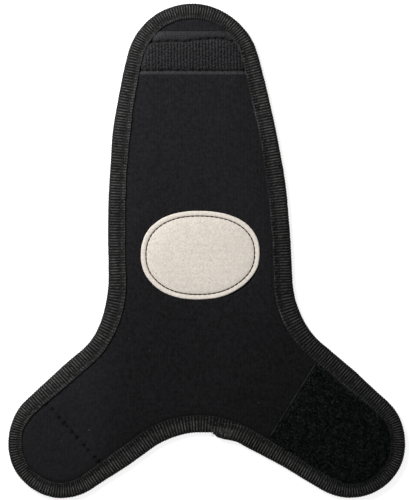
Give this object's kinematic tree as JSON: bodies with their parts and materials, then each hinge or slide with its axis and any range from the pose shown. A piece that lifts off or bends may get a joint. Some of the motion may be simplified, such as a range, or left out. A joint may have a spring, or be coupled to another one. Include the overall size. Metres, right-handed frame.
{
  "type": "handlebar pad",
  "caption": "Soft three-armed pad that wraps round a child's bicycle handlebar and stem, bound at its edge, with hook and loop fastening and an oval cloth badge.",
  "frame": {"origin": "centre of the outline, on the plane that the pad lies on", "axes": "+Z out of the front face, +Y up the tongue, +X towards the arm with the loop patch"},
  "size_m": [0.1908, 0.2364, 0.0048],
  "materials": {
    "foam": "matt black knit bonded to foam rubber",
    "tape": "black ribbed tape with a low sheen",
    "hooks": "black nylon hooks on a woven ground",
    "loops": "matt black brushed loop pile",
    "badge": "undyed canvas",
    "thread": "black polyester sewing thread",
    "badge_thread": "dark brown sewing thread"
  },
  "bodies": {
    "root": {"foam_panel": "foam", "edge_binding": "tape", "binding_needle_thread": "thread", "binding_bobbin_thread": "thread", "hook_strip": "hooks", "hook_strip_lower_needle_thread": "thread", "hook_strip_lower_bobbin_thread": "thread", "hook_strip_upper_needle_thread": "thread", "hook_strip_upper_bobbin_thread": "thread", "loop_patch": "loops", "loop_patch_needle_thread": "thread", "loop_patch_bobbin_thread": "thread", "rear_hook_patch": "hooks", "rear_patch_needle_thread": "thread", "rear_patch_bobbin_thread": "thread", "badge": "badge", "badge_needle_thread": "badge_thread", "badge_bobbin_thread": "thread"}
  },
  "joints": []
}
